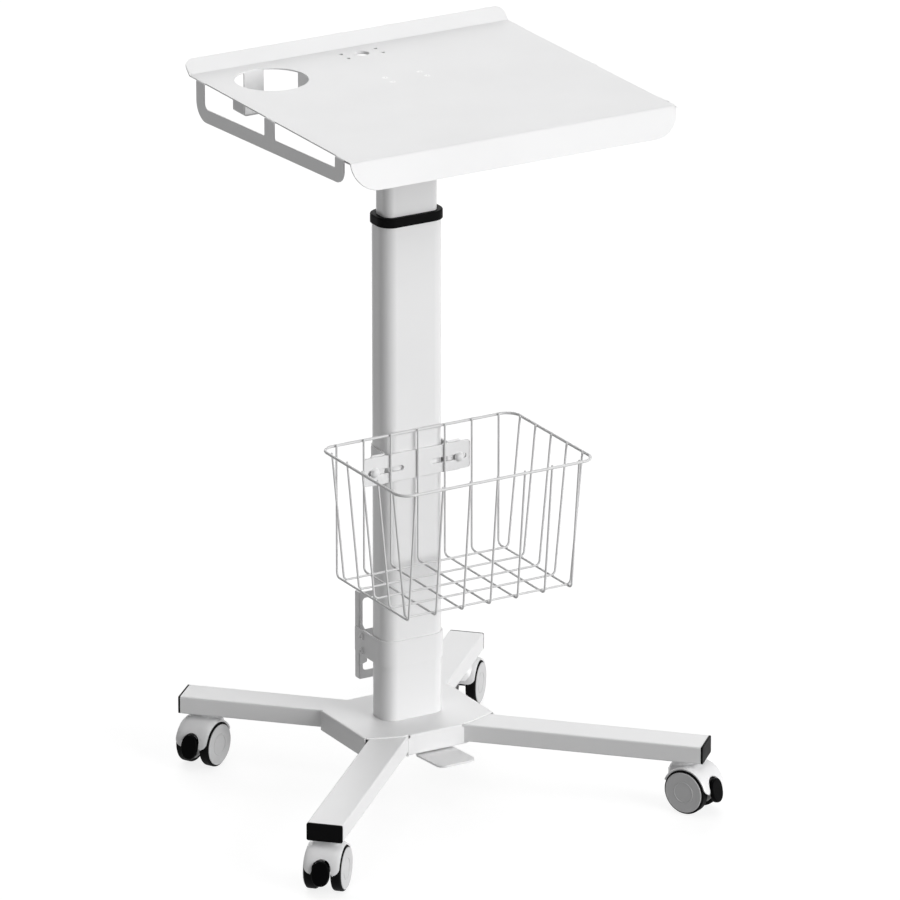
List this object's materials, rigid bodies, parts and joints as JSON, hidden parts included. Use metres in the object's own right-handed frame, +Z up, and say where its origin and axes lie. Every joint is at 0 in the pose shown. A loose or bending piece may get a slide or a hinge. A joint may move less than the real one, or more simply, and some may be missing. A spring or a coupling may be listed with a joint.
{
  "type": "mobile ultrasound trolley",
  "caption": "Height-adjustable trolley for a portable ultrasound machine: folded tray with side handles and cup hole, telescopic column, wire basket, four-leg base, braked casters.",
  "frame": {"origin": "on the floor, under the axis of the telescopic column", "axes": "+Z up, -Y towards the front (pedal and basket), +X towards the object's right when seen from the front"},
  "size_m": [0.6506, 0.5864, 1.031],
  "materials": {
    "tray_paint": "satin powder coat",
    "frame_paint": "semi-gloss powder coat",
    "column_aluminium": "satin coat on an extruded tube",
    "wire_coat": "plastic-coated wire",
    "black_plastic": "moulded, fine texture",
    "lever_plastic": "moulded, fine texture",
    "hood_plastic": "moulded",
    "disc_plastic": "moulded",
    "glide_plastic": "moulded",
    "tyre": "thermoplastic rubber",
    "steel": "zinc plated",
    "chrome": "polished"
  },
  "bodies": {
    "base": {"outer_tube": "column_aluminium", "column_collar": "black_plastic", "column_foot": "steel", "gas_rod": "chrome", "hub_plate": "frame_paint", "hub_cover": "frame_paint", "leg_front_left": "frame_paint", "leg_front_right": "frame_paint", "leg_rear_left": "frame_paint", "leg_rear_right": "frame_paint", "leg_end_caps": "black_plastic", "hub_screws": "steel", "pedal_pin": "steel", "pedal_brackets": "frame_paint", "basket_rim": "wire_coat", "basket_wires": "wire_coat", "basket_plate": "frame_paint", "basket_clamp": "frame_paint", "basket_screws": "frame_paint", "holder_band": "frame_paint", "holder_plate": "frame_paint", "holder_screws": "steel", "caster_stems": "steel"},
    "upper": {"tray": "tray_paint", "cup_cradle": "tray_paint", "tray_screws": "tray_paint", "inner_tube": "column_aluminium", "inner_glide": "glide_plastic", "gas_cylinder": "black_plastic"},
    "pedal": {"pedal": "frame_paint"},
    "release": {"release_pin": "steel"},
    "caster_front_left": {"caster_front_left_hood": "hood_plastic", "caster_front_left_axle": "steel"},
    "front_left_wheel_l": {"caster_front_left_wheel_l": "disc_plastic", "caster_front_left_tyre_l": "tyre"},
    "front_left_wheel_r": {"caster_front_left_wheel_r": "disc_plastic", "caster_front_left_tyre_r": "tyre"},
    "front_left_lever": {"caster_front_left_lever": "lever_plastic"},
    "caster_front_right": {"caster_front_right_hood": "hood_plastic", "caster_front_right_axle": "steel"},
    "front_right_wheel_l": {"caster_front_right_wheel_l": "disc_plastic", "caster_front_right_tyre_l": "tyre"},
    "front_right_wheel_r": {"caster_front_right_wheel_r": "disc_plastic", "caster_front_right_tyre_r": "tyre"},
    "front_right_lever": {"caster_front_right_lever": "lever_plastic"},
    "caster_rear_left": {"caster_rear_left_hood": "hood_plastic", "caster_rear_left_axle": "steel"},
    "rear_left_wheel_l": {"caster_rear_left_wheel_l": "disc_plastic", "caster_rear_left_tyre_l": "tyre"},
    "rear_left_wheel_r": {"caster_rear_left_wheel_r": "disc_plastic", "caster_rear_left_tyre_r": "tyre"},
    "rear_left_lever": {"caster_rear_left_lever": "lever_plastic"},
    "caster_rear_right": {"caster_rear_right_hood": "hood_plastic", "caster_rear_right_axle": "steel"},
    "rear_right_wheel_l": {"caster_rear_right_wheel_l": "disc_plastic", "caster_rear_right_tyre_l": "tyre"},
    "rear_right_wheel_r": {"caster_rear_right_wheel_r": "disc_plastic", "caster_rear_right_tyre_r": "tyre"},
    "rear_right_lever": {"caster_rear_right_lever": "lever_plastic"}
  },
  "joints": [
    {"name": "column_lift", "type": "slide", "parent": "base", "child": "upper", "axis": [0, 0, 1], "range_m": [-0.14, 0.16]},
    {"name": "pedal_hinge", "type": "hinge", "parent": "base", "child": "pedal", "pos_m": [0, -0.036, 0.058], "axis": [1, 0, 0], "range_deg": [0, 6], "stiffness_Nm_per_rad": 12, "springref_deg": -6.88},
    {"name": "release_slide", "type": "slide", "parent": "base", "child": "release", "axis": [0, 0, 1], "range_m": [0, 0.0042]},
    {"name": "front_left_swivel", "type": "hinge", "parent": "base", "child": "caster_front_left", "pos_m": [-0.27719, -0.27719, 0.062], "axis": [0, 0, 1], "continuous": true},
    {"name": "front_left_wheel_l_spin", "type": "hinge", "parent": "caster_front_left", "child": "front_left_wheel_l", "pos_m": [-0.28779, -0.28779, 0.0315], "axis": [0.7071, -0.7071, 0], "continuous": true},
    {"name": "front_left_wheel_r_spin", "type": "hinge", "parent": "caster_front_left", "child": "front_left_wheel_r", "pos_m": [-0.28779, -0.28779, 0.0315], "axis": [0.7071, -0.7071, 0], "continuous": true},
    {"name": "front_left_brake", "type": "hinge", "parent": "caster_front_left", "child": "front_left_lever", "pos_m": [-0.28779, -0.28779, 0.0315], "axis": [0.7071, -0.7071, 0], "range_deg": [0, 12]},
    {"name": "front_right_swivel", "type": "hinge", "parent": "base", "child": "caster_front_right", "pos_m": [0.27719, -0.27719, 0.062], "axis": [0, 0, 1], "continuous": true},
    {"name": "front_right_wheel_l_spin", "type": "hinge", "parent": "caster_front_right", "child": "front_right_wheel_l", "pos_m": [0.28388, -0.29061, 0.0315], "axis": [0.8949, 0.4462, 0], "continuous": true},
    {"name": "front_right_wheel_r_spin", "type": "hinge", "parent": "caster_front_right", "child": "front_right_wheel_r", "pos_m": [0.28388, -0.29061, 0.0315], "axis": [0.8949, 0.4462, 0], "continuous": true},
    {"name": "front_right_brake", "type": "hinge", "parent": "caster_front_right", "child": "front_right_lever", "pos_m": [0.28388, -0.29061, 0.0315], "axis": [0.8949, 0.4462, 0], "range_deg": [0, 12]},
    {"name": "rear_left_swivel", "type": "hinge", "parent": "base", "child": "caster_rear_left", "pos_m": [-0.20082, 0.20082, 0.062], "axis": [0, 0, 1], "continuous": true},
    {"name": "rear_left_wheel_l_spin", "type": "hinge", "parent": "caster_rear_left", "child": "rear_left_wheel_l", "pos_m": [-0.21387, 0.19343, 0.0315], "axis": [0.4924, -0.8704, 0], "continuous": true},
    {"name": "rear_left_wheel_r_spin", "type": "hinge", "parent": "caster_rear_left", "child": "rear_left_wheel_r", "pos_m": [-0.21387, 0.19343, 0.0315], "axis": [0.4924, -0.8704, 0], "continuous": true},
    {"name": "rear_left_brake", "type": "hinge", "parent": "caster_rear_left", "child": "rear_left_lever", "pos_m": [-0.21387, 0.19343, 0.0315], "axis": [0.4924, -0.8704, 0], "range_deg": [0, 12]},
    {"name": "rear_right_swivel", "type": "hinge", "parent": "base", "child": "caster_rear_right", "pos_m": [0.20082, 0.20082, 0.062], "axis": [0, 0, 1], "continuous": true},
    {"name": "rear_right_wheel_l_spin", "type": "hinge", "parent": "caster_rear_right", "child": "rear_right_wheel_l", "pos_m": [0.21143, 0.21143, 0.0315], "axis": [-0.7071, 0.7071, 0], "continuous": true},
    {"name": "rear_right_wheel_r_spin", "type": "hinge", "parent": "caster_rear_right", "child": "rear_right_wheel_r", "pos_m": [0.21143, 0.21143, 0.0315], "axis": [-0.7071, 0.7071, 0], "continuous": true},
    {"name": "rear_right_brake", "type": "hinge", "parent": "caster_rear_right", "child": "rear_right_lever", "pos_m": [0.21143, 0.21143, 0.0315], "axis": [-0.7071, 0.7071, 0], "range_deg": [0, 12]}
  ],
  "couplings": [
    {"joint": "release_slide", "follows": "pedal_hinge", "m_per_rad": 0.038}
  ]
}
